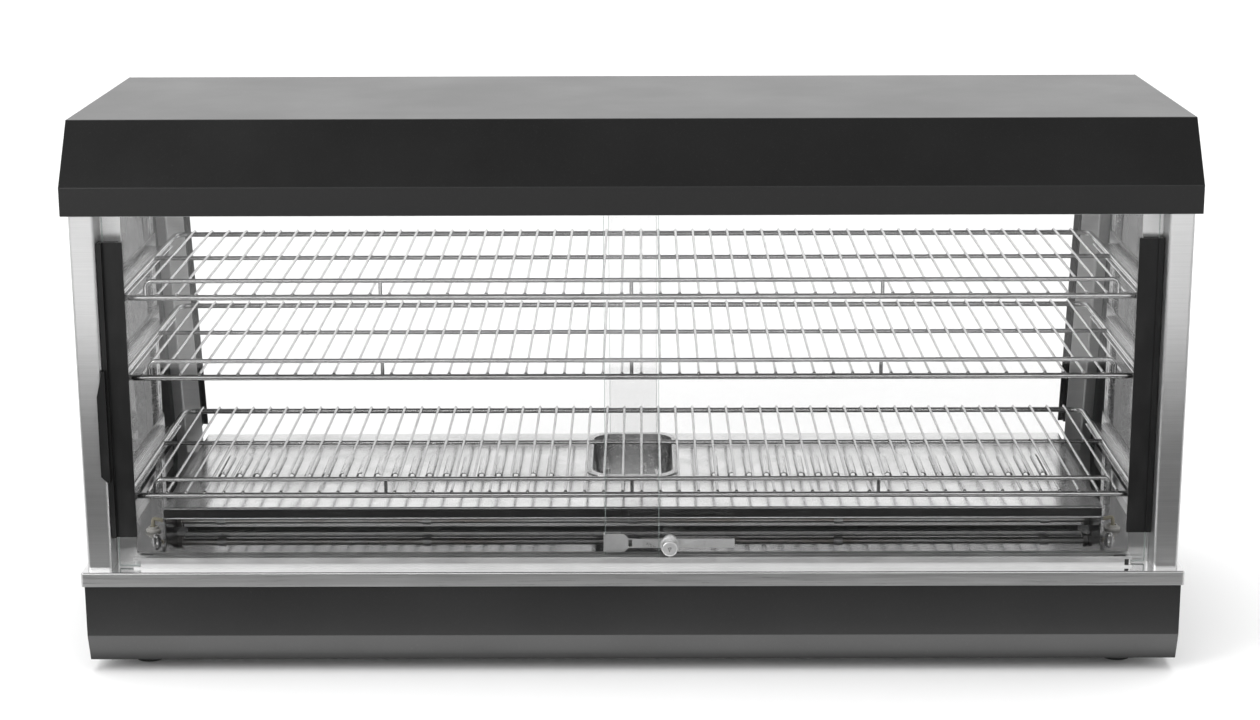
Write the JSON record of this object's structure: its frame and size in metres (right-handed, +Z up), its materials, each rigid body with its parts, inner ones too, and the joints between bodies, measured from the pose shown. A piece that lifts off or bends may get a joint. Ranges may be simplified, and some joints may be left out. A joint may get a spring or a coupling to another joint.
{
  "type": "heated display cabinet",
  "caption": "Countertop heated display cabinet with sliding glass doors front and back, wire shelves, a louvred heater cover, a water pan and rear controls.",
  "frame": {"origin": "on the table, at the middle of the footprint, under the feet", "axes": "+X along the width to the right when facing the front, +Y from the front to the back, +Z up"},
  "size_m": [1.2, 0.48, 0.61],
  "materials": {
    "black_powder_coat": "fine textured black powder coat",
    "brushed_stainless": "horizontal brushed grain",
    "polished_stainless": "bright polished sheet",
    "satin_stainless": "satin",
    "galvanised_steel": "zinc coated sheet",
    "chrome_wire": "bright chrome plate",
    "nickel_plate": "nickel plate",
    "aluminium": "mill finish extrusion",
    "clear_glass": "clear toughened glass",
    "side_glass": "clear toughened glass",
    "lamp_glass": "frosted heat-proof glass",
    "black_plastic": "satin black plastic",
    "white_ceramic": "off-white moulding",
    "amber_lens": "translucent amber",
    "heater_sheath": "heat-stained stainless sheath",
    "insulation": "glass wool",
    "rubber": "moulded rubber"
  },
  "bodies": {
    "cabinet": {"base_bottom_cover": "galvanised_steel", "base_crossmembers": "galvanised_steel", "base_front_panel": "black_powder_coat", "base_rear_panel": "black_powder_coat", "base_side_panels": "black_powder_coat", "case_screws": "nickel_plate", "ceiling_liner": "polished_stainless", "control_tray": "black_powder_coat", "cord_gland": "black_plastic", "deck_pan": "polished_stainless", "dome_nuts_and_washers": "nickel_plate", "foot_screws": "nickel_plate", "front_left_post": "brushed_stainless", "front_lower_track": "aluminium", "front_right_post": "brushed_stainless", "front_upper_track": "aluminium", "heater_carrier": "galvanised_steel", "heater_tube": "heater_sheath", "hood_ends": "black_powder_coat", "hood_shell": "black_powder_coat", "insulation_pads": "insulation", "lamp_bulbs": "lamp_glass", "lamp_lenses": "lamp_glass", "lamp_reflectors": "satin_stainless", "lamp_sockets": "white_ceramic", "left_side_glass": "side_glass", "louvred_heater_cover": "polished_stainless", "lower_shelf": "chrome_wire", "middle_shelf": "chrome_wire", "rear_left_post": "brushed_stainless", "rear_lower_track": "aluminium", "rear_right_post": "brushed_stainless", "rear_upper_track": "aluminium", "right_side_glass": "side_glass", "rubber_feet": "rubber", "shelf_fences": "chrome_wire", "shelf_ledges": "satin_stainless", "side_glass_channels": "aluminium", "signal_lamp": "amber_lens", "slotted_standards": "satin_stainless", "switch_housings": "black_plastic", "terminal_block": "white_ceramic", "thermostat_body": "white_ceramic", "upper_shelf": "chrome_wire"},
    "front_left_door": {"front_left_pane": "clear_glass", "front_left_handle": "black_plastic", "lock_barrel": "nickel_plate"},
    "lock_plug": {"lock_plug": "nickel_plate"},
    "front_right_door": {"front_right_pane": "clear_glass", "front_right_handle": "black_plastic", "ratchet_bar": "nickel_plate"},
    "rear_left_door": {"rear_left_pane": "clear_glass", "rear_left_handle": "black_plastic"},
    "rear_right_door": {"rear_right_pane": "clear_glass", "rear_right_handle": "black_plastic"},
    "water_pan": {"water_pan": "satin_stainless"},
    "thermostat_knob": {"thermostat_knob": "black_plastic", "thermostat_spindle": "nickel_plate"},
    "power_switch_rocker": {"power_switch_rocker": "black_plastic"},
    "lighting_switch_rocker": {"lighting_switch_rocker": "black_plastic"}
  },
  "joints": [
    {"name": "front_left_door_slide", "type": "slide", "parent": "cabinet", "child": "front_left_door", "axis": [1, 0, 0], "range_m": [0, 0.485]},
    {"name": "front_right_door_slide", "type": "slide", "parent": "cabinet", "child": "front_right_door", "axis": [-1, 0, 0], "range_m": [0, 0.485]},
    {"name": "rear_left_door_slide", "type": "slide", "parent": "cabinet", "child": "rear_left_door", "axis": [1, 0, 0], "range_m": [0, 0.485]},
    {"name": "rear_right_door_slide", "type": "slide", "parent": "cabinet", "child": "rear_right_door", "axis": [-1, 0, 0], "range_m": [0, 0.485]},
    {"name": "lock_plug_turn", "type": "hinge", "parent": "front_left_door", "child": "lock_plug", "pos_m": [0.041, -0.23, 0.145], "axis": [0, -1, 0], "range_deg": [0, 90]},
    {"name": "water_pan_lift", "type": "slide", "parent": "cabinet", "child": "water_pan", "axis": [0, 0, 1], "range_m": [0, 0.018]},
    {"name": "thermostat_turn", "type": "hinge", "parent": "cabinet", "child": "thermostat_knob", "pos_m": [0.455, 0.2, 0.075], "axis": [0, 1, 0], "range_deg": [0, 270]},
    {"name": "power_switch_tip", "type": "hinge", "parent": "cabinet", "child": "power_switch_rocker", "pos_m": [0.378, 0.209, 0.075], "axis": [1, 0, 0], "range_deg": [0, 18]},
    {"name": "lighting_switch_tip", "type": "hinge", "parent": "cabinet", "child": "lighting_switch_rocker", "pos_m": [0.342, 0.209, 0.075], "axis": [1, 0, 0], "range_deg": [0, 18]}
  ]
}
